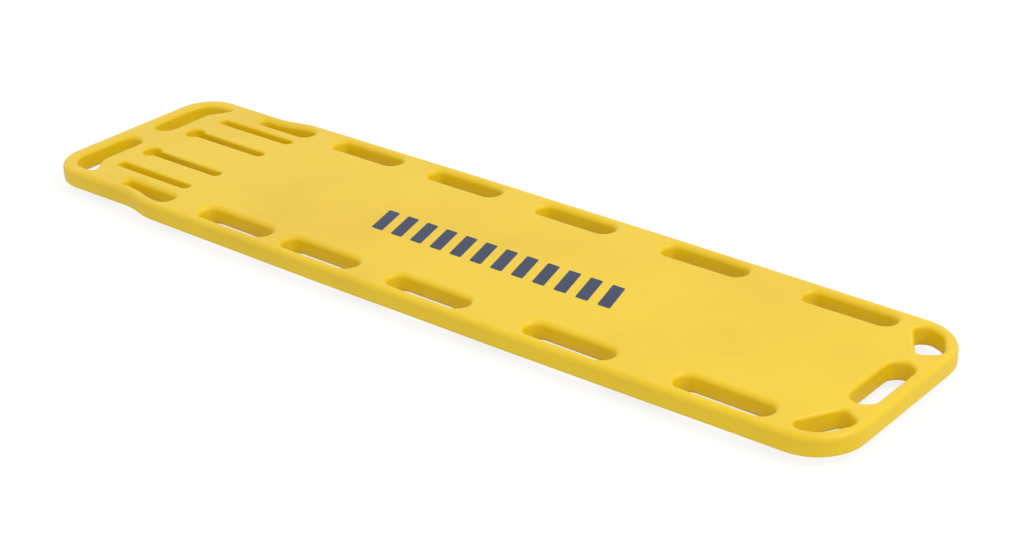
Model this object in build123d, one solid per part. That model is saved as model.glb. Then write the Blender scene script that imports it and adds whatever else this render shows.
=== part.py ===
from build123d import *
import math
import os

# Spine board, millimetres. +X runs from the head end to the foot end, +Y to the patient's left,
# +Z up. The origin is on the ground, under the middle of the board.

# Overall size
board_length = 1840.0
board_width = 465.0
rim_height = 39.0  # underside of the rim to the top face
runner_drop = 11.0  # how far the moulded runners stand below the rim

# Plan outline: half widths are measured from the centre line
widest_x = -309.0  # the sides bow out most here
foot_width = 434.5  # width across the foot corners, before they are rounded
head_width = 440.0  # width across the head corners, before they are rounded
neck_width = 434.0  # narrowest place, beside the head slots
neck_x = -697.0
shoulder_x = -593.0  # where the narrow head part has swung out to the full side
shoulder_width = 463.4
head_corner_radius = 78.0
foot_corner_radius = 91.0
rim_top_radius = 14.0
rim_under_radius = 15.0

# Moulded skin
skin = 3.0
foam_gap = 0.2  # between the foam core and what it lies against

# Hand holes along both sides
grip_bar = 23.5  # bar left between a hand hole and the edge
hand_hole_width = 41.0
hand_hole_length = 175.0
left_hand_holes = (-415.0, -159.5, 114.0, 405.5, 703.0)
right_hand_holes = (-394.5, -173.5, 87.5, 395.0, 697.5)
hand_hole_top_radius = 9.0
hand_hole_under_radius = 8.0

# Shoulder holes, whose outer wall follows the neck
shoulder_hole_start = -720.0
shoulder_hole_end = -576.0
shoulder_hole_inner = 172.0  # inner wall, from the centre line
shoulder_neck_radius = 9.5  # corners of the end beside the neck
shoulder_end_radius = 14.0  # corners of the other end

# Curved grips round the head corners
head_grip_bar = 31.0
head_grip_width = 46.0
head_grip_inner_end = 30.0  # end nearest the centre line
head_grip_tip_x = -806.0
head_grip_bend = 128.0  # where the inner wall turns towards the tip
head_grip_bend_radius = 40.0
head_grip_tip_radius = 7.0
head_grip_end_roundness = 0.45  # end corners, as a share of the grip's width
head_grip_top_radius = 9.0

# Foot end holes
foot_grip_bar = 25.0
foot_grip_width = 45.0
foot_grip_length = 150.0
foot_grip_offset = -3.0
corner_grip_x = 862.0
corner_grip_y = 150.0
corner_grip_width = 31.0
corner_grip_length = 88.0
corner_grip_angle = 50.0
foot_grip_top_radius = 8.0
foot_grip_under_radius = 9.0

# Strap slots for the head immobiliser
slot_width = 20.0
outer_slot_y = 134.0
outer_slot_start = -784.0
outer_slot_end = -586.0
keyhole_y = 60.0
keyhole_x = -781.0
keyhole_diameter = 36.0
slot_rim_radius = 4.5
slot_under_radius = 3.8

# Moulded runners under the board
runner_y = 101.0
runner_root_width = 30.0
runner_start = -812.0
runner_end = 800.0
runner_draft = 12.0
runner_edge_radius = 4.0
runner_edge_core_loss = 0.5  # how fast the edge radius shrinks with depth inside the skin

# Stiffener tubes inside the foam
tube_diameter = 18.0
tube_wall = 2.5
tube_start = -806.0
tube_end = 794.0
tube_bore_gap = 0.2
bung_flange = 2.0
bung_shank = 12.0
bung_fit = 0.1

# Foam filling port and air vents in the underside
port_diameter = 24.0
vent_diameter = 10.0
plug_lip = 4.0  # how far a plug's head reaches past its hole
plug_head = 1.4
plug_fit = 0.15
port_x = 0.0
head_vent_x = -690.0
foot_vent_x = 780.0

rim_top_z = runner_drop + rim_height
tube_z = runner_drop + rim_height / 2
cut_margin = 5.0
level_tolerance = 0.01
least_radius = 2.0  # inside the skin a rim rounded by less than this stays sharp


def flank_points(inset):
    """Where the narrow neck ends, where the full side begins, and the slope at both."""
    head_corner = (-board_length / 2, head_width / 2 - inset)
    neck = (neck_x, neck_width / 2 - inset)
    shoulder = (shoulder_x, shoulder_width / 2 - inset)
    widest = (widest_x, board_width / 2 - inset)
    foot_corner = (board_length / 2, foot_width / 2 - inset)
    return head_corner, neck, shoulder, widest, foot_corner


def side_curves(inset, start_x, end_x):
    """Straight head side, swing out to the shoulder, then the long bowed flank."""
    head_corner, neck, shoulder, widest, foot_corner = flank_points(inset)
    head_side = Line(head_corner, neck)
    flank = ThreePointArc(shoulder, widest, foot_corner)
    head_part = (start_x - head_corner[0]) / (neck[0] - head_corner[0])
    flank_part = (end_x - shoulder[0]) / (foot_corner[0] - shoulder[0])
    swing = swing_arcs(head_side, flank)
    return head_side.trim(head_part, 1), *swing, flank.trim(0, flank_part)


def swing_arcs(head_side, flank):
    """Two arcs, tangent to each other and to both sides, from the neck out to the shoulder."""
    start, end = head_side @ 1, flank @ 0
    leaving, arriving = head_side % 1, flank % 0
    span = end - start
    turn = 2 * (1 - leaving.dot(arriving))
    reach = span.dot(leaving + arriving)
    handle = (math.sqrt(reach**2 + turn * span.dot(span)) - reach) / turn
    middle = (start + end + (leaving - arriving) * handle) / 2
    first = TangentArc(start, middle, tangent=leaving)
    return first, TangentArc(middle, end, tangent=first % 1)


def plan_outline(inset):
    """Half outline drawn sharp, mirrored, then its four corners rounded."""
    half_length = board_length / 2 - inset
    curves = side_curves(inset, -half_length, half_length)
    head_end = Line((-half_length, 0), curves[0] @ 0)
    foot_end = Line(curves[-1] @ 1, (half_length, 0))
    half = Curve() + [head_end, *curves, foot_end]
    face = make_face([*half.edges(), *mirror(half, Plane.XZ).edges()])
    face = fillet(face.vertices().group_by(Axis.X)[0], head_corner_radius - inset)
    return fillet(face.vertices().group_by(Axis.X)[-1], foot_corner_radius - inset)


def side_half_width(x):
    """Half width of the board at x, along the bowed flank."""
    sag = (board_width - foot_width) / 2
    reach = board_length / 2 - widest_x
    return board_width / 2 - sag * ((x - widest_x) / reach) ** 2


def hand_holes(grow):
    holes = []
    for side, centres in ((1, left_hand_holes), (-1, right_hand_holes)):
        for x in centres:
            y = side_half_width(x) - grip_bar - hand_hole_width / 2
            slot = SlotOverall(hand_hole_length + 2 * grow, hand_hole_width + 2 * grow)
            holes.append(Pos(x, side * y) * slot)
    return holes


def shoulder_holes(grow):
    """The outer wall runs beside the board's own side, a bar's width in."""
    inner_y = shoulder_hole_inner - grow
    start_x = shoulder_hole_start - grow
    end_x = shoulder_hole_end + grow
    curves = side_curves(grip_bar - grow, start_x, end_x)
    inner_wall = Line((start_x, inner_y), (end_x, inner_y))
    neck_end = Line((start_x, inner_y), curves[0] @ 0)
    far_end = Line(curves[-1] @ 1, (end_x, inner_y))
    hole = make_face([inner_wall, neck_end, *curves, far_end])
    hole = fillet(hole.vertices().group_by(Axis.X)[0], shoulder_neck_radius + grow)
    hole = fillet(hole.vertices().group_by(Axis.X)[-1], shoulder_end_radius + grow)
    return [hole, mirror(hole, Plane.XZ)]


def head_grips(grow):
    """Straight behind the end bar, then round the corner to a narrow tip."""
    outer_x = -board_length / 2 + head_grip_bar
    inner_x = outer_x + head_grip_width
    outer_y = head_width / 2 - head_grip_bar
    corners = [
        (outer_x, head_grip_inner_end),
        (outer_x, outer_y),
        (head_grip_tip_x, outer_y),
        (inner_x, head_grip_bend),
        (inner_x, head_grip_inner_end),
    ]
    end_radius = head_grip_end_roundness * head_grip_width
    outer_radius = head_corner_radius - head_grip_bar
    radii = [end_radius, outer_radius, head_grip_tip_radius, head_grip_bend_radius, end_radius]
    hole = make_face(FilletPolyline(*corners, radius=radii, close=True))
    hole = offset(hole, amount=grow) if grow else hole
    return [hole, mirror(hole, Plane.XZ)]


def foot_grips(grow):
    """One grip across the end and one slanted grip at each corner."""
    x = board_length / 2 - foot_grip_bar - foot_grip_width / 2
    across = SlotOverall(foot_grip_length + 2 * grow, foot_grip_width + 2 * grow)
    slanted = SlotOverall(corner_grip_length + 2 * grow, corner_grip_width + 2 * grow)
    holes = [Pos(x, foot_grip_offset) * Rot(Z=90) * across]
    for side in (1, -1):
        place = Pos(corner_grip_x, side * corner_grip_y) * Rot(Z=-side * corner_grip_angle)
        holes.append(place * slanted)
    return holes


def strap_slots(grow):
    """On each side a plain slot, and a slot that opens into a round keyhole head."""
    width = slot_width + 2 * grow
    length = outer_slot_end - outer_slot_start + 2 * grow
    middle = (outer_slot_start + outer_slot_end) / 2
    plain = Pos(middle, outer_slot_y) * SlotOverall(length, width)
    stem_length = outer_slot_end - keyhole_x + slot_width / 2 + 2 * grow
    stem_middle = (outer_slot_end + keyhole_x - slot_width / 2) / 2
    stem = Pos(stem_middle, keyhole_y) * SlotOverall(stem_length, width)
    keyhole = stem + Pos(keyhole_x, keyhole_y) * Circle(keyhole_diameter / 2 + grow)
    return [plain, keyhole, mirror(plain, Plane.XZ), mirror(keyhole, Plane.XZ)]


def at_height(shapes, z):
    return shapes.filter_by_position(Axis.Z, z - level_tolerance, z + level_tolerance)


def through_cut(hole, low, high):
    start = Pos(0, 0, low - cut_margin) * hole
    return extrude(start, amount=high - low + 2 * cut_margin, dir=(0, 0, 1))


def round_rims(body, holes, z, radius):
    """Rounds the edges of the given holes on the flat face at height z."""
    flats = at_height(body.faces().filter_by(GeomType.PLANE), z)
    centres = [hole.bounding_box().center() for hole in holes]
    edges = []
    for wire in flats.sort_by(SortBy.AREA)[-1].inner_wires():
        middle = wire.bounding_box().center()
        if any(abs(middle.X - c.X) + abs(middle.Y - c.Y) < 1 for c in centres):
            edges += wire.edges()
    return fillet(edges, radius)


def moulded_body(inset):
    """The board's form with every surface moved in by inset: 0 is the outside."""
    low = runner_drop + inset
    high = rim_top_z - inset
    body = extrude(Pos(0, 0, low) * plan_outline(inset), amount=high - low, dir=(0, 0, 1))
    body = fillet(at_height(body.edges(), high), rim_top_radius - inset)
    body = fillet(at_height(body.edges(), low), rim_under_radius - inset)
    families = (
        (hand_holes, hand_hole_top_radius, hand_hole_under_radius),
        (shoulder_holes, hand_hole_top_radius, hand_hole_under_radius),
        (head_grips, head_grip_top_radius, hand_hole_under_radius),
        (foot_grips, foot_grip_top_radius, foot_grip_under_radius),
        (strap_slots, slot_rim_radius, slot_under_radius),
    )
    for family, top_radius, under_radius in families:
        holes = family(inset)
        for hole in holes:
            body -= through_cut(hole, low, high)
        for z, radius in ((high, top_radius - inset), (low, under_radius - inset)):
            if radius > least_radius:
                body = round_rims(body, holes, z, radius)
    for side in (1, -1):
        body += runner(side, inset)
    return body


def runner(side, inset):
    """Long foot with drafted sides that carries the board and houses a stiffener tube."""
    length = runner_end - runner_start - 2 * inset
    place = Pos((runner_start + runner_end) / 2, side * runner_y, runner_drop + inset)
    root = place * SlotOverall(length, runner_root_width - 2 * inset)
    foot = extrude(root, amount=-runner_drop, taper=runner_draft)
    return fillet(at_height(foot.edges(), inset), runner_edge_radius - runner_edge_core_loss * inset)


def plug_holes(gap):
    """Bores and shallow seats for the three underside plugs, with gap all round."""
    holes = Part()
    for x, diameter in plug_places():
        place = Pos(x, 0, runner_drop)
        bore = Cylinder(diameter / 2 + gap, skin, align=(Align.CENTER, Align.CENTER, Align.MIN))
        seat_radius = diameter / 2 + plug_lip + gap
        seat = Cylinder(seat_radius, plug_head + gap, align=(Align.CENTER, Align.CENTER, Align.MIN))
        holes += place * (bore + seat)
    return holes


def plug_places():
    return ((port_x, port_diameter), (head_vent_x, vent_diameter), (foot_vent_x, vent_diameter))


def outer_shell():
    """One-piece hollow skin, seamless, open only at the port and the vents."""
    return moulded_body(0) - moulded_body(skin) - plug_holes(plug_fit)


def foam_core():
    core = moulded_body(skin + foam_gap)
    bore_radius = tube_diameter / 2 + tube_bore_gap
    length = tube_end - tube_start + 2 * (bung_flange + tube_bore_gap)
    for side in (1, -1):
        place = Pos((tube_start + tube_end) / 2, side * runner_y, tube_z) * Rot(Y=90)
        core -= place * Cylinder(bore_radius, length)
    return core


def stiffener_tube(side):
    place = Pos((tube_start + tube_end) / 2, side * runner_y, tube_z) * Rot(Y=90)
    length = tube_end - tube_start
    outside = Cylinder(tube_diameter / 2, length)
    return place * (outside - Cylinder(tube_diameter / 2 - tube_wall, length))


def tube_bung(side, x, facing):
    """Stopper pushed into one end of a tube: facing is the way its flange looks along X."""
    flange = Cylinder(tube_diameter / 2, bung_flange, align=(Align.CENTER, Align.CENTER, Align.MIN))
    flange = fillet(flange.edges().sort_by(Axis.Z)[-1], bung_flange / 3)
    shank_radius = tube_diameter / 2 - tube_wall - bung_fit
    shank = Cylinder(shank_radius, bung_shank, align=(Align.CENTER, Align.CENTER, Align.MAX))
    shank = chamfer(shank.edges().sort_by(Axis.Z)[0], shank_radius / 6)
    return Pos(x, side * runner_y, tube_z) * Rot(Y=90 * facing) * (flange + shank)


def underside_plug(x, diameter):
    """Mushroom plug, its head flush with the underside."""
    align = (Align.CENTER, Align.CENTER, Align.MIN)
    head = Cylinder(diameter / 2 + plug_lip, plug_head, align=align)
    stem = Cylinder(diameter / 2, skin, align=align)
    return Pos(x, 0, runner_drop) * (head + stem)


def write_parts():
    os.makedirs("parts", exist_ok=True)
    pieces = {
        "outer_shell": outer_shell(),
        "foam_core": foam_core(),
        "fill_plug": underside_plug(port_x, port_diameter),
        "vent_plug_head": underside_plug(head_vent_x, vent_diameter),
        "vent_plug_foot": underside_plug(foot_vent_x, vent_diameter),
    }
    for name, side in (("left", 1), ("right", -1)):
        pieces[f"stiffener_tube_{name}"] = stiffener_tube(side)
        pieces[f"tube_bung_{name}_head"] = tube_bung(side, tube_start, -1)
        pieces[f"tube_bung_{name}_foot"] = tube_bung(side, tube_end, 1)
    for name, piece in pieces.items():
        export_step(piece, f"parts/{name}.step")


write_parts()
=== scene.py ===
import math
from functools import partial

import bmesh
import bpy
from mathutils import Matrix, Vector
from mathutils.geometry import delaunay_2d_cdt


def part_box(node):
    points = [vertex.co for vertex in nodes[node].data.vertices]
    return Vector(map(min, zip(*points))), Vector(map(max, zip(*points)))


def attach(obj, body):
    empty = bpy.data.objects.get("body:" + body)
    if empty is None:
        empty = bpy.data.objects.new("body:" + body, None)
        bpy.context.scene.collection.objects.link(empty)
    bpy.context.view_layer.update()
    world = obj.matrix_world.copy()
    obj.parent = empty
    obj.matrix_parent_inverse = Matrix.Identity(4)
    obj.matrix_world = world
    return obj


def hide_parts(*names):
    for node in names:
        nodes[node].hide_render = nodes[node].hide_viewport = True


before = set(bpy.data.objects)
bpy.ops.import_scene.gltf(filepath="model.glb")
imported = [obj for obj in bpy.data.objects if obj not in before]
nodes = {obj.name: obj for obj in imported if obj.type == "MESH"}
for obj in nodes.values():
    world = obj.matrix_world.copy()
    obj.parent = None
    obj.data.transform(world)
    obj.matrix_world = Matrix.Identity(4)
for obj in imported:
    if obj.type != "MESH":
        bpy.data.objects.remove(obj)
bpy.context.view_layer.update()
print("frame loaded:", len(nodes), "nodes")


# Small helpers shared by all materials and pieces

def toLinear(hexColour):
    channels = [int(hexColour[i:i + 2], 16) / 255 for i in (1, 3, 5)]
    linear = [c / 12.92 if c <= 0.04045 else ((c + 0.055) / 1.055) ** 2.4 for c in channels]
    return (*linear, 1.0)


def setNode(tree, node, settings=None, inputs=None, links=None, stops=()):
    for name, value in (settings or {}).items():
        setattr(node, name, value)
    for name, value in (inputs or {}).items():
        node.inputs[name].default_value = toLinear(value) if isinstance(value, str) else value
    for name, source in (links or {}).items():
        tree.links.new(source, node.inputs[name])
    for i, (position, colour) in enumerate(stops):
        elements = node.color_ramp.elements
        stop = elements[i] if i < 2 else elements.new(position)  # a new ramp has two stops
        stop.position = position
        stop.color = toLinear(colour)
    return node


def addNode(tree, kind, settings=None, inputs=None, links=None, stops=()):
    return setNode(tree, tree.nodes.new(kind), settings, inputs, links, stops)


def newMaterial(name):
    material = bpy.data.materials.new(name)
    material.use_nodes = True
    tree = material.node_tree
    place = addNode(tree, "ShaderNodeTexCoord").outputs["Object"]
    return material, tree, tree.nodes["Principled BSDF"], place


def dress(obj, material):
    obj.data.materials.clear()
    obj.data.materials.append(material)


def newObject(bm, name, material):
    mesh = bpy.data.meshes.new(name)
    bm.to_mesh(mesh)
    bm.free()
    obj = bpy.data.objects.new(name, mesh)
    bpy.context.scene.collection.objects.link(obj)
    dress(obj, material)
    return obj


# High-density polyethylene, rotomoulded: an even, waxy yellow with a faint orange peel where
# the powder melted against the mould, slow shrink waves and a soft sheen. The walls of the holes
# have a painted glow: where they are hidden from the open, their colour is painted a brighter
# orange-yellow that stands in for light bled through the waxy plastic

shellLook = {
    "clouds": {"Scale": 1 / 0.25, "Detail": 3.0},  # patches 250 mm across
    "tints": ((0.35, "#E5BE00"), (0.5, "#E9C300"), (0.65, "#EBC604")),
    # painted glow: the colour painted into hollows, in place of light bled through the plastic
    "paintedGlowColour": "#FFDE00",
    "paintedGlowReach": 0.05,
    "paintedGlowSamples": 8,
    "peel": {"Scale": 1 / 0.007, "Detail": 2.0},  # orange peel 7 mm across, as coarse as shows
    "peelHeight": 0.00006,
    "waves": {"Scale": 1 / 0.12, "Detail": 1.0},  # shrink waves 120 mm across
    "waveHeight": 0.00018,
    # Roughness follows the orange peel
    "sheen": {"From Min": 0.3, "From Max": 0.7, "To Min": 0.38, "To Max": 0.46},
    "ior": 1.53,
}


def rotomouldedPolyethylene():
    look = shellLook
    material, tree, shader, place = newMaterial("HDPE rotomoulded yellow")
    clouds = addNode(tree, "ShaderNodeTexNoise", inputs=look["clouds"], links={"Vector": place})
    tint = addNode(tree, "ShaderNodeValToRGB", links={"Fac": clouds.outputs["Fac"]}, stops=look["tints"])
    # Painted light: the less open a spot is, the more it takes the brighter glow colour, painted into the
    # holes' walls
    paintedGlowOpenness = addNode(tree, "ShaderNodeAmbientOcclusion", {"samples": look["paintedGlowSamples"]},
                       inputs={"Distance": look["paintedGlowReach"]})
    colour = addNode(tree, "ShaderNodeMix", {"data_type": "RGBA"}, inputs={"A": look["paintedGlowColour"]},
                     links={"Factor": paintedGlowOpenness.outputs["AO"], "B": tint.outputs["Color"]})
    peel = addNode(tree, "ShaderNodeTexNoise", inputs=look["peel"], links={"Vector": place})
    waves = addNode(tree, "ShaderNodeTexNoise", inputs=look["waves"], links={"Vector": place})
    sheen = addNode(tree, "ShaderNodeMapRange", inputs=look["sheen"], links={"Value": peel.outputs["Fac"]})
    slow = addNode(tree, "ShaderNodeBump", inputs={"Strength": 1.0, "Distance": look["waveHeight"]},
                   links={"Height": waves.outputs["Fac"]})
    fine = addNode(tree, "ShaderNodeBump", inputs={"Strength": 1.0, "Distance": look["peelHeight"]},
                   links={"Height": peel.outputs["Fac"], "Normal": slow.outputs["Normal"]})
    setNode(tree, shader, inputs={"IOR": look["ior"]},
            links={"Base Color": colour.outputs["Result"], "Roughness": sheen.outputs["Result"],
                   "Normal": fine.outputs["Normal"]})
    return material


# Polyethylene plugs, injection moulded: the shell's yellow a shade deeper, smoother and with
# fine circular flow marks round the middle of each plug

wavePeriod = 0.314  # of the wave texture at scale 1

plugLook = {
    "clouds": {"Scale": 1 / 0.02, "Detail": 2.0},  # patches 20 mm across
    "tints": ((0.3, "#DDB300"), (0.7, "#E3BC06")),
    "rings": {"Scale": wavePeriod / 0.0015, "Distortion": 0.6},  # flow marks 1.5 mm apart
    "ringHeight": 0.00002,
    "gloss": {"Roughness": 0.34, "IOR": 1.53},
}


def injectionMouldedPlug(centre):
    look = plugLook
    material, tree, shader, place = newMaterial("HDPE injection moulded")
    clouds = addNode(tree, "ShaderNodeTexNoise", inputs=look["clouds"], links={"Vector": place})
    tint = addNode(tree, "ShaderNodeValToRGB", links={"Fac": clouds.outputs["Fac"]}, stops=look["tints"])
    centred = addNode(tree, "ShaderNodeMapping", inputs={"Location": -centre}, links={"Vector": place})
    rings = addNode(tree, "ShaderNodeTexWave", {"wave_type": "RINGS", "rings_direction": "Z"},
                    inputs=look["rings"], links={"Vector": centred.outputs["Vector"]})
    bump = addNode(tree, "ShaderNodeBump", inputs={"Strength": 1.0, "Distance": look["ringHeight"]},
                   links={"Height": rings.outputs["Fac"]})
    setNode(tree, shader, inputs=look["gloss"],
            links={"Base Color": tint.outputs["Color"], "Normal": bump.outputs["Normal"]})
    return material


# Rigid polyurethane foam, poured: cream and matt, with fine closed cells and darker patches

foamLook = {
    "patches": {"Scale": 1 / 0.06, "Detail": 4.0},  # 60 mm across
    "tints": ((0.3, "#D8C48A"), (0.7, "#EADCAB")),
    "cells": {"Scale": 1 / 0.0012},  # closed cells 1.2 mm across
    "cellDepth": 0.0003,
    "gloss": {"Roughness": 0.88, "IOR": 1.5},
}


def pouredFoam():
    look = foamLook
    material, tree, shader, place = newMaterial("polyurethane foam poured")
    patches = addNode(tree, "ShaderNodeTexNoise", inputs=look["patches"], links={"Vector": place})
    tint = addNode(tree, "ShaderNodeValToRGB", links={"Fac": patches.outputs["Fac"]}, stops=look["tints"])
    cells = addNode(tree, "ShaderNodeTexVoronoi", inputs=look["cells"], links={"Vector": place})
    bump = addNode(tree, "ShaderNodeBump", inputs={"Strength": 1.0, "Distance": look["cellDepth"]},
                   links={"Height": cells.outputs["Distance"]})
    setNode(tree, shader, inputs=look["gloss"],
            links={"Base Color": tint.outputs["Color"], "Normal": bump.outputs["Normal"]})
    return material


# Glass fibre tube, pultruded: grey-green resin with long fibre streaks along the tube

fibreLook = {
    "drawn": {"Scale": (1 / 0.25, 1 / 0.0012, 1 / 0.0012)},  # streaks 250 mm long, 1.2 mm wide
    "streaks": {"Scale": 1.0, "Detail": 3.0},
    "tints": ((0.3, "#8F9478"), (0.7, "#B4B79C")),
    "streakHeight": 0.00004,
    "gloss": {"Roughness": 0.46, "IOR": 1.55},
}


def pultrudedGlassFibre():
    look = fibreLook
    material, tree, shader, place = newMaterial("glass fibre pultruded")
    drawn = addNode(tree, "ShaderNodeMapping", inputs=look["drawn"], links={"Vector": place})
    streaks = addNode(tree, "ShaderNodeTexNoise", inputs=look["streaks"],
                      links={"Vector": drawn.outputs["Vector"]})
    tint = addNode(tree, "ShaderNodeValToRGB", links={"Fac": streaks.outputs["Fac"]}, stops=look["tints"])
    bump = addNode(tree, "ShaderNodeBump", inputs={"Strength": 1.0, "Distance": look["streakHeight"]},
                   links={"Height": streaks.outputs["Fac"]})
    setNode(tree, shader, inputs=look["gloss"],
            links={"Base Color": tint.outputs["Color"], "Normal": bump.outputs["Normal"]})
    return material


# Black polyethylene bungs, injection moulded: dark and slightly glossy, with a fine grain
# from the spark-eroded mould

bungLook = {
    "grain": {"Scale": 1 / 0.0006, "Detail": 2.0},  # grit 0.6 mm across
    "tints": ((0.3, "#161616"), (0.7, "#242424")),
    "grainHeight": 0.00003,
    "gloss": {"Roughness": 0.4, "IOR": 1.53},
}


def sparkGrainedBung():
    look = bungLook
    material, tree, shader, place = newMaterial("HDPE black spark grained")
    grain = addNode(tree, "ShaderNodeTexNoise", inputs=look["grain"], links={"Vector": place})
    tint = addNode(tree, "ShaderNodeValToRGB", links={"Fac": grain.outputs["Fac"]}, stops=look["tints"])
    bump = addNode(tree, "ShaderNodeBump", inputs={"Strength": 1.0, "Distance": look["grainHeight"]},
                   links={"Height": grain.outputs["Fac"]})
    setNode(tree, shader, inputs=look["gloss"],
            links={"Base Color": tint.outputs["Color"], "Normal": bump.outputs["Normal"]})
    return material


# The solids that stay as they are

for plug in ("fill_plug", "vent_plug_head", "vent_plug_foot"):
    low, high = (Vector(corner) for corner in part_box(plug))
    dress(nodes[plug], injectionMouldedPlug((low + high) / 2))
fibre = pultrudedGlassFibre()
bung = sparkGrainedBung()
for side in ("left", "right"):
    dress(nodes[f"stiffener_tube_{side}"], fibre)
    for end in ("head", "foot"):
        dress(nodes[f"tube_bung_{side}_{end}"], bung)
print("solids dressed")


# The moulded form, drawn again so that its long sides and grips are true to the photograph.
# Every outline is a polygon of corners (x, y, rounding radius), counter-clockwise from above,
# that can be grown outwards. The head end is at -X, and a second outline is its mirror image

board = {
    "rimLow": 0.011,
    "rimHigh": 0.050,
    "rims": (0.0106, 0.010),  # rounding radius on top and below, as for the holes' rims
    "skin": 0.003,
    "foamGap": 0.0002,
    "leftSide": ((0.920, 0.2185, 0.091), (0.330, 0.2285, 4.0), (-0.150, 0.2325, 4.0),
                 (-0.619, 0.2316, 0.175), (-0.671, 0.2166, 0.175), (-0.920, 0.220, 0.078)),
    "arcStep": math.radians(6),
    "leastSteps": 5,
    "rimSteps": 6,
}

handHoles = {
    "bar": 0.0228,  # left between a hole and the side
    "width": 0.0426,
    "lengths": {1: 0.175, -1: 0.181},  # by side: 1 is left, -1 right
    "centres": {1: (-0.415, -0.1595, 0.114, 0.4055, 0.703),
                -1: (-0.3985, -0.1765, 0.0845, 0.392, 0.6945)},
    "rims": (0.0105, 0.011),
}

shoulderHoles = {
    "start": -0.720,
    "end": -0.575,
    "inner": 0.172,
    "neckRadius": 0.0095,
    "farRadius": 0.018,
    "swingShift": 0.14,  # share of the bar that the outer wall's two bends stand further along
}

headGrips = {
    "corners": ((-0.8385, 0.028, 0.0226), (-0.8385, 0.143, 0.040), (-0.806, 0.189, 0.007),
                (-0.889, 0.189, 0.047), (-0.889, 0.028, 0.0226)),
    "rims": (0.009, 0.008),
}

footGrips = {
    "middle": (0.8725, -0.003),
    "size": (0.048, 0.150),
    "bowMiddle": (0.829, 0.127),  # centre of the board's corner rounding
    "bowTurn": math.radians(31.5),  # from the board's length to the middle of the bow
    # Corners of the grip as steps across and out from that centre, with rounding radius
    "bow": ((-0.039, 0.059, 0.015), (-0.026, 0.069, 0.025), (0.026, 0.069, 0.040),
            (0.053, 0.0475, 0.018), (0.053, 0.022, 0.013), (-0.039, 0.022, 0.012)),
    "rims": (0.008, 0.008),
}

strapSlots = {
    "width": 0.020,
    "outerY": 0.134,
    "outerEnds": {1: (-0.787, -0.580), -1: (-0.797, -0.589)},
    "keyholeY": 0.0583,
    "keyholeX": -0.784,
    "keyholeRadius": 0.019,
    "stemEnd": -0.583,
    "stemSteps": 30,
    "keyholeSteps": 50,
    "rims": (0.0045, 0.0038),
}

runners = {
    "y": 0.101,
    "start": -0.812,
    "end": 0.800,
    "width": 0.030,
    "draft": math.radians(12),
    "edgeRadius": 0.004,
    "edgeLoss": 0.5,  # how much of an inset the edge's radius loses
}

plugSeats = {
    "places": ((0.0, 0.024), (-0.690, 0.010), (0.780, 0.010)),  # x and bore diameter
    "lip": 0.004,
    "head": 0.0014,
    "fit": 0.00015,
    "steps": 48,
}

tubeBores = {"radius": 0.0092, "z": 0.0305, "start": -0.8082, "end": 0.7962, "steps": 32}

roundEndGap = 0.0001  # keeps the two corners of a round end from meeting in one point
fillTolerance = 0.000001  # points closer than this are one


def mirrored(corners):
    return [(x, -y, radius) for x, y, radius in reversed(corners)]


# The corners' arcs once the outline has grown outwards: a rounding grows with it or, at a
# corner that turns the other way, shrinks

def roundedLoop(corners, grow):
    points = []
    for i, (_, _, radius) in enumerate(corners):
        before, here, after = (Vector(corners[k % len(corners)][:2]) for k in (i - 1, i, i + 1))
        arriving, leaving = (here - before).normalized(), (after - here).normalized()
        first, last = Vector((arriving.y, -arriving.x)), Vector((leaving.y, -leaving.x))
        mitre = (first + last) / (1 + first.dot(last))
        turn = math.atan2(arriving.cross(leaving), arriving.dot(leaving))
        side = math.copysign(1, turn)
        rounding = radius + side * grow
        middle = here + mitre * (grow - side * rounding)
        steps = max(board["leastSteps"], math.ceil(abs(turn) / board["arcStep"]))
        start = math.atan2(first.y, first.x)
        points += arcPoints(middle, side * rounding, start, start + turn, steps)
    return points


def arcPoints(middle, radius, start, end, steps):
    angles = [start + (end - start) * k / steps for k in range(steps + 1)]
    return [middle + radius * Vector((math.cos(a), math.sin(a))) for a in angles]


def stadium(x, y, sizeX, sizeY):
    radius = (min(sizeX, sizeY) - roundEndGap) / 2
    halfX, halfY = sizeX / 2, sizeY / 2
    return [(x - halfX, y - halfY, radius), (x + halfX, y - halfY, radius),
            (x + halfX, y + halfY, radius), (x - halfX, y + halfY, radius)]


def keyholeLoop(side, grow):
    slots = strapSlots
    half = slots["width"] / 2 + grow
    radius = slots["keyholeRadius"] + grow
    y = side * slots["keyholeY"]
    stem = Vector((slots["stemEnd"] - slots["width"] / 2, y))
    head = Vector((slots["keyholeX"], y))
    mouth = math.asin(half / radius)
    return (arcPoints(stem, half, -math.pi / 2, math.pi / 2, slots["stemSteps"])
            + arcPoints(head, radius, mouth, 2 * math.pi - mouth, slots["keyholeSteps"]))


# Half width of the board at x, before the bends of the long side are rounded

def halfWidthAt(x):
    corners = board["leftSide"]
    for (x1, y1, _), (x0, y0, _) in zip(corners, corners[1:]):
        if x0 <= x <= x1:
            return y0 + (y1 - y0) * (x - x0) / (x1 - x0)


# The outer wall stays a bar's width away from the shoulder and the neck

def shoulderCorners():
    hole, bar = shoulderHoles, handHoles["bar"]
    start, end, inner = hole["start"], hole["end"], hole["inner"]
    (shoulderX, shoulderY, radius), (neckX, neckY, _) = board["leftSide"][3:5]
    shift = hole["swingShift"] * bar
    return [(start, inner, hole["neckRadius"]),
            (end, inner, hole["farRadius"]),
            (end, halfWidthAt(end) - bar, hole["farRadius"]),
            (shoulderX + shift, shoulderY - bar, radius - bar),
            (neckX + shift, neckY - bar, radius + bar),
            (start, halfWidthAt(start) - bar, hole["neckRadius"])]


# A straight inner wall, and a bow outside that follows the board's corner

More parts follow.
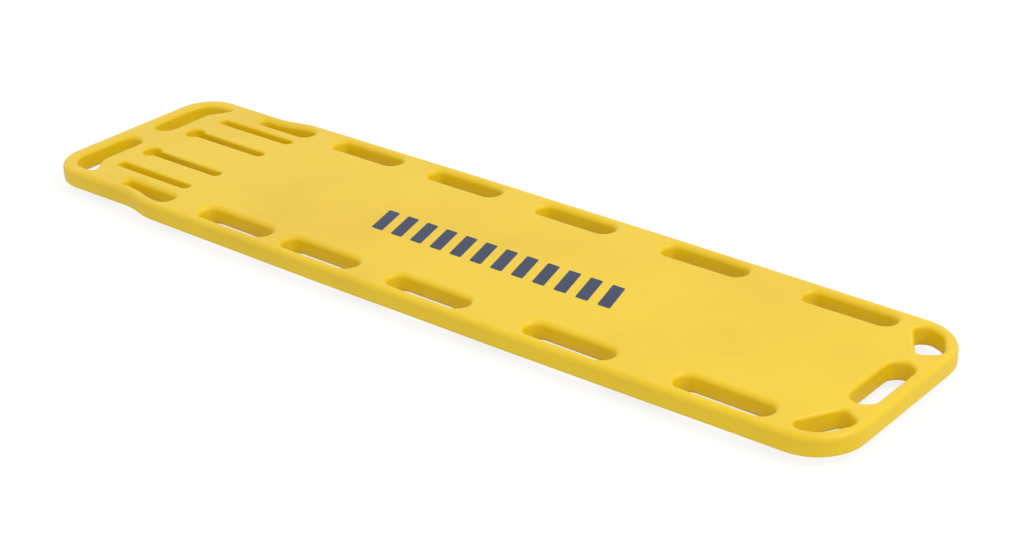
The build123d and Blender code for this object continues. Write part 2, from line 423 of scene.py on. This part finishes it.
def cornerGripCorners():
    x, y = footGrips["bowMiddle"]
    cosine, sine = math.cos(footGrips["bowTurn"]), math.sin(footGrips["bowTurn"])
    return [(x - across * sine + out * cosine, y + across * cosine + out * sine, radius)
            for across, out, radius in footGrips["bow"]]


# Every hole as a loop that can be grown, with its rims

def allHoles():
    shoulder, head, corner = shoulderCorners(), headGrips["corners"], cornerGripCorners()
    foot = stadium(*footGrips["middle"], *footGrips["size"])
    polygons = []
    for side, centres in handHoles["centres"].items():
        for x in centres:
            y = side * (halfWidthAt(x) - handHoles["bar"] - handHoles["width"] / 2)
            hand = stadium(x, y, handHoles["lengths"][side], handHoles["width"])
            polygons.append((hand, handHoles["rims"]))
    polygons += [(corners, handHoles["rims"]) for corners in (shoulder, mirrored(shoulder))]
    polygons += [(corners, headGrips["rims"]) for corners in (head, mirrored(head))]
    polygons += [(corners, footGrips["rims"]) for corners in (foot, corner, mirrored(corner))]
    for side, (start, end) in strapSlots["outerEnds"].items():
        y = side * strapSlots["outerY"]
        plain = stadium((start + end) / 2, y, end - start, strapSlots["width"])
        polygons.append((plain, strapSlots["rims"]))
    holes = [(partial(roundedLoop, corners), rims) for corners, rims in polygons]
    return holes + [(partial(keyholeLoop, side), strapSlots["rims"]) for side in (1, -1)]


def makeRing(bm, points, z):
    verts = [bm.verts.new((*point, z)) for point in points]
    return [bm.edges.new((verts[i - 1], verts[i])) for i in range(len(verts))]


def bridgeRings(bm, rings, smooth):
    for lower, upper in zip(rings, rings[1:]):
        for face in bmesh.ops.bridge_loops(bm, edges=lower + upper)["faces"]:
            face.smooth = smooth


# How far a wall with rounded rims stands back at each height, from the top face downwards

def wallProfile(rims, inset):
    low, high = board["rimLow"] + inset, board["rimHigh"] - inset
    top, under = (max(radius - inset, 0) for radius in rims)
    quarter = [math.pi / 2 * k / board["rimSteps"] for k in range(board["rimSteps"] + 1)]
    upper = [(top * (1 - math.sin(a)), high - top * (1 - math.cos(a))) for a in quarter]
    lower = [(under * (1 - math.cos(a)), low + under * (1 - math.sin(a))) for a in quarter]
    return (upper if top else upper[:1]) + (lower if under else lower[:1])


# Drafted foot with a rounded edge, from the underside down to the ground

def runnerRings(bm, side, inset):
    low, draft, steps = board["rimLow"], runners["draft"], board["rimSteps"]
    middle = (runners["start"] + runners["end"]) / 2
    corners = stadium(middle, side * runners["y"], runners["end"] - runners["start"], runners["width"])
    radius = runners["edgeRadius"] - runners["edgeLoss"] * inset
    back = (low - radius * (1 - math.sin(draft))) * math.tan(draft)
    profile = [(0, low)]
    for k in range(steps + 1):
        a = draft + (math.pi / 2 - draft) * k / steps
        profile.append((-back - radius * (math.cos(draft) - math.cos(a)), radius * (1 - math.sin(a))))
    return [makeRing(bm, roundedLoop(corners, grow - inset), z + inset) for grow, z in profile]


# The walls of the whole form with every surface moved in by inset. It gives the borders of the
# two flats that are still open; the given borders are more holes in the lower one

def makeWalls(bm, inset, borders):
    outline = [*board["leftSide"], *mirrored(board["leftSide"])]
    walls = [(partial(roundedLoop, outline), -1, board["rims"])]
    walls += [(loop, 1, rims) for loop, rims in allHoles()]
    tops, bottoms = [], []
    for loop, side, rims in walls:
        rings = [makeRing(bm, loop(side * (inset + back)), z) for back, z in wallProfile(rims, inset)]
        bridgeRings(bm, rings, True)
        tops.append(rings[0])
        bottoms.append(rings[-1])
    for side in (1, -1):
        rings = runnerRings(bm, side, inset)
        bridgeRings(bm, rings, True)
        bmesh.ops.edgeloop_fill(bm, edges=rings[-1])
        bottoms.append(rings[0])
    return [tops, bottoms + borders]


# Stepped bores through the underside skin, one for each plug: the borders in the underside, the
# ledges that are still open, and the borders inside

def makePlugSeats(bm):
    low, fit, steps = board["rimLow"], plugSeats["fit"], plugSeats["steps"]
    seatBorders, ledges, boreBorders = [], [], []
    for x, diameter in plugSeats["places"]:
        bore = diameter / 2 + fit
        seat = bore + plugSeats["lip"]
        depth = low + plugSeats["head"] + fit
        rings = [makeRing(bm, arcPoints(Vector((x, 0)), radius, 0, math.tau, steps)[1:], z)
                 for radius, z in ((seat, low), (seat, depth), (bore, depth), (bore, low + board["skin"]))]
        bridgeRings(bm, rings[:2], False)
        bridgeRings(bm, rings[2:], False)
        seatBorders.append(rings[0])
        ledges.append(rings[1:3])
        boreBorders.append(rings[3])
    return seatBorders, ledges, boreBorders


# Triangles between the outer border of each flat, its first ring, and its holes. The bmesh fill
# operator leaves gaps in flats with this many holes, and Blender's Delaunay fill doesn't

def fillFlats(bm, flats):
    for rings in flats:
        verts, borders = [], []
        for edges in rings:
            borders.append(list(range(len(verts), len(verts) + len(edges))))
            verts += [edge.verts[1] for edge in edges]  # the point that each edge leads to
        points = [vert.co.xy for vert in verts]
        _, _, triangles, sources, _, owners = delaunay_2d_cdt(points, [], borders, 0, fillTolerance)
        for corners, inside in zip(triangles, owners):
            if inside == [0]:  # within the outer border and no hole
                bm.faces.new([verts[sources[i][0]] for i in corners])
    bmesh.ops.recalc_face_normals(bm, faces=bm.faces)


def makeShell():
    bm = bmesh.new()
    seatBorders, ledges, boreBorders = makePlugSeats(bm)
    outside = makeWalls(bm, 0.0, seatBorders)
    inside = makeWalls(bm, board["skin"], boreBorders)
    fillFlats(bm, outside + inside + ledges)
    shell = newObject(bm, "shell_moulding", rotomouldedPolyethylene())
    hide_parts("outer_shell")
    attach(shell, "root")


# The bores are closed cavities in the foam, so their faces look inwards

def makeFoam():
    bores = tubeBores
    middle, length = (bores["start"] + bores["end"]) / 2, bores["end"] - bores["start"]
    bm = bmesh.new()
    fillFlats(bm, makeWalls(bm, board["skin"] + board["foamGap"], []))
    for side in (1, -1):
        place = Matrix.Translation((middle, side * runners["y"], bores["z"]))
        bore = bmesh.ops.create_cone(bm, cap_ends=True, segments=bores["steps"], radius1=bores["radius"],
                                     radius2=bores["radius"], depth=length,
                                     matrix=place @ Matrix.Rotation(math.pi / 2, 4, "Y"))
        faces = list({face for vert in bore["verts"] for face in vert.link_faces})
        bmesh.ops.reverse_faces(bm, faces=faces)
        for face in faces:
            face.smooth = len(face.verts) == 4  # the wall, and not the two ends
    foam = newObject(bm, "foam_filling", pouredFoam())
    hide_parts("foam_core")
    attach(foam, "root")


makeShell()
makeFoam()
print("moulding made")


# Screen-printed ink: flat navy, a little rougher than the moulding, with the fine weave that
# the printing mesh leaves

inkLook = {
    "patches": {"Scale": 1 / 0.03, "Detail": 3.0},  # 30 mm across
    "tints": ((0.3, "#172848"), (0.7, "#1E3155")),
    "weave": {"Scale": 1 / 0.0008, "Randomness": 0.0},  # mesh threads 0.8 mm apart
    "weaveHeight": 0.00001,
    "gloss": {"Roughness": 0.5, "IOR": 1.5},
}


def screenPrintInk():
    look = inkLook
    material, tree, shader, place = newMaterial("ink screen printed navy")
    patches = addNode(tree, "ShaderNodeTexNoise", inputs=look["patches"], links={"Vector": place})
    tint = addNode(tree, "ShaderNodeValToRGB", links={"Fac": patches.outputs["Fac"]}, stops=look["tints"])
    weave = addNode(tree, "ShaderNodeTexVoronoi", {"distance": "CHEBYCHEV"}, inputs=look["weave"],
                    links={"Vector": place})
    bump = addNode(tree, "ShaderNodeBump", inputs={"Strength": 1.0, "Distance": look["weaveHeight"]},
                   links={"Height": weave.outputs["Distance"]})
    setNode(tree, shader, inputs=look["gloss"],
            links={"Base Color": tint.outputs["Color"], "Normal": bump.outputs["Normal"]})
    return material


# Print on the top: a plain row of slanted bars

printBars = {
    "startX": -0.192,
    "endX": 0.382,
    "lowY": -0.060,
    "highY": 0.014,
    "bars": 12,
    "barShare": 0.56,  # of the spacing from bar to bar
    "slant": 0.022,  # how far a bar's far end leans towards the head
    "cornerRadius": 0.003,
    "cornerSteps": 5,
    "thickness": 0.00012,
    "sink": 0.00002,
}


def makePrint():
    bars = printBars
    bm = bmesh.new()
    z = board["rimHigh"] - bars["sink"]
    lean = bars["slant"]
    spacing = (bars["endX"] - bars["startX"] - lean) / (bars["bars"] - 1 + bars["barShare"])
    for i in range(bars["bars"]):
        left = bars["startX"] + lean + i * spacing
        right = left + bars["barShare"] * spacing
        corners = [(left, bars["lowY"]), (right, bars["lowY"]),
                   (right - lean, bars["highY"]), (left - lean, bars["highY"])]
        bm.faces.new([bm.verts.new((x, y, z)) for x, y in corners])
    bmesh.ops.bevel(bm, geom=bm.verts[:], offset=bars["cornerRadius"], affect="VERTICES",
                    segments=bars["cornerSteps"], profile=0.5, material=-1)
    grown = bmesh.ops.extrude_face_region(bm, geom=bm.faces[:])
    lifted = [part for part in grown["geom"] if isinstance(part, bmesh.types.BMVert)]
    bmesh.ops.translate(bm, verts=lifted, vec=(0, 0, bars["thickness"]))
    bmesh.ops.recalc_face_normals(bm, faces=bm.faces)
    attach(newObject(bm, "print_bars", screenPrintInk()), "root")


makePrint()
print("print made")


# Camera at the photograph's angle: where it stands, its three axes and its lens

cameraLook = {
    "place": (2.1955, -2.3846, 1.6153),
    "right": (0.7662, 0.6414, -0.0398),
    "up": (-0.2648, 0.3715, 0.8900),
    "back": (0.5856, -0.6713, 0.4545),
    "lens": 69.79,
    "sensor": 36.0,
}


def makeCamera():
    data = bpy.data.cameras.new("camera")
    data.lens = cameraLook["lens"]
    data.sensor_width = cameraLook["sensor"]
    camera = bpy.data.objects.new("camera", data)
    axes = Matrix([cameraLook["right"], cameraLook["up"], cameraLook["back"]]).transposed()
    camera.matrix_world = Matrix.Translation(cameraLook["place"]) @ axes.to_4x4()
    bpy.context.scene.collection.objects.link(camera)
    bpy.context.scene.camera = camera


# Plain pale floor, burnt out to white as in the photograph, and soft studio light

studio = {
    "floorRadius": 40.0,
    "floorSides": 96,
    "floorDrop": 0.0008,
    "floorBounce": 0.74,  # what the floor gives back to the board
    "floorSeen": 0.18,  # what it shows of its own shading
    "floorGlow": 0.83,
    "skyLight": 0.85,
    "keyPlace": (4.5, 1.0, 6.0),
    "keyTarget": (0.0, 0.0, 0.0),
    "keySize": 3.5,
    "keyPower": 178.0,
}


def makeFloor():
    bm = bmesh.new()
    bmesh.ops.create_circle(bm, cap_ends=True, segments=studio["floorSides"], radius=studio["floorRadius"])
    bmesh.ops.translate(bm, verts=bm.verts, vec=(0, 0, -studio["floorDrop"]))
    material, tree, shader, _ = newMaterial("matt paper sweep")
    seen = addNode(tree, "ShaderNodeLightPath").outputs["Is Camera Ray"]
    shade = addNode(tree, "ShaderNodeMapRange", links={"Value": seen},
                    inputs={"To Min": studio["floorBounce"], "To Max": studio["floorSeen"]})
    glow = addNode(tree, "ShaderNodeMath", {"operation": "MULTIPLY"}, links={0: seen},
                   inputs={1: studio["floorGlow"]})
    setNode(tree, shader,
            inputs={"Roughness": 1.0, "IOR": 1.45, "Specular IOR Level": 0.0,
                    "Emission Color": (1, 1, 1, 1)},
            links={"Base Color": shade.outputs["Result"], "Emission Strength": glow.outputs["Value"]})
    newObject(bm, "floor", material)


def makeWorld():
    world = bpy.data.worlds.new("studio")
    world.use_nodes = True
    bpy.context.scene.world = world
    tree = world.node_tree
    light = addNode(tree, "ShaderNodeLightPath")
    seen = addNode(tree, "ShaderNodeMath", {"operation": "MAXIMUM"},
                   links={0: light.outputs["Is Camera Ray"], 1: light.outputs["Is Glossy Ray"]})
    strength = addNode(tree, "ShaderNodeMapRange", links={"Value": seen.outputs["Value"]},
                       inputs={"To Min": studio["skyLight"], "To Max": 1.0})
    setNode(tree, tree.nodes["Background"], inputs={"Color": (1, 1, 1, 1)},
            links={"Strength": strength.outputs["Result"]})


def makeKey():
    data = bpy.data.lights.new("key softbox", "AREA")
    data.size = studio["keySize"]
    data.energy = studio["keyPower"]
    key = bpy.data.objects.new("key softbox", data)
    place = Vector(studio["keyPlace"])
    aim = (Vector(studio["keyTarget"]) - place).to_track_quat("-Z", "Y")
    key.matrix_world = Matrix.Translation(place) @ aim.to_matrix().to_4x4()
    bpy.context.scene.collection.objects.link(key)


makeCamera()
makeFloor()
makeWorld()
makeKey()
bpy.context.scene.view_settings.view_transform = "Standard"
print("studio ready")
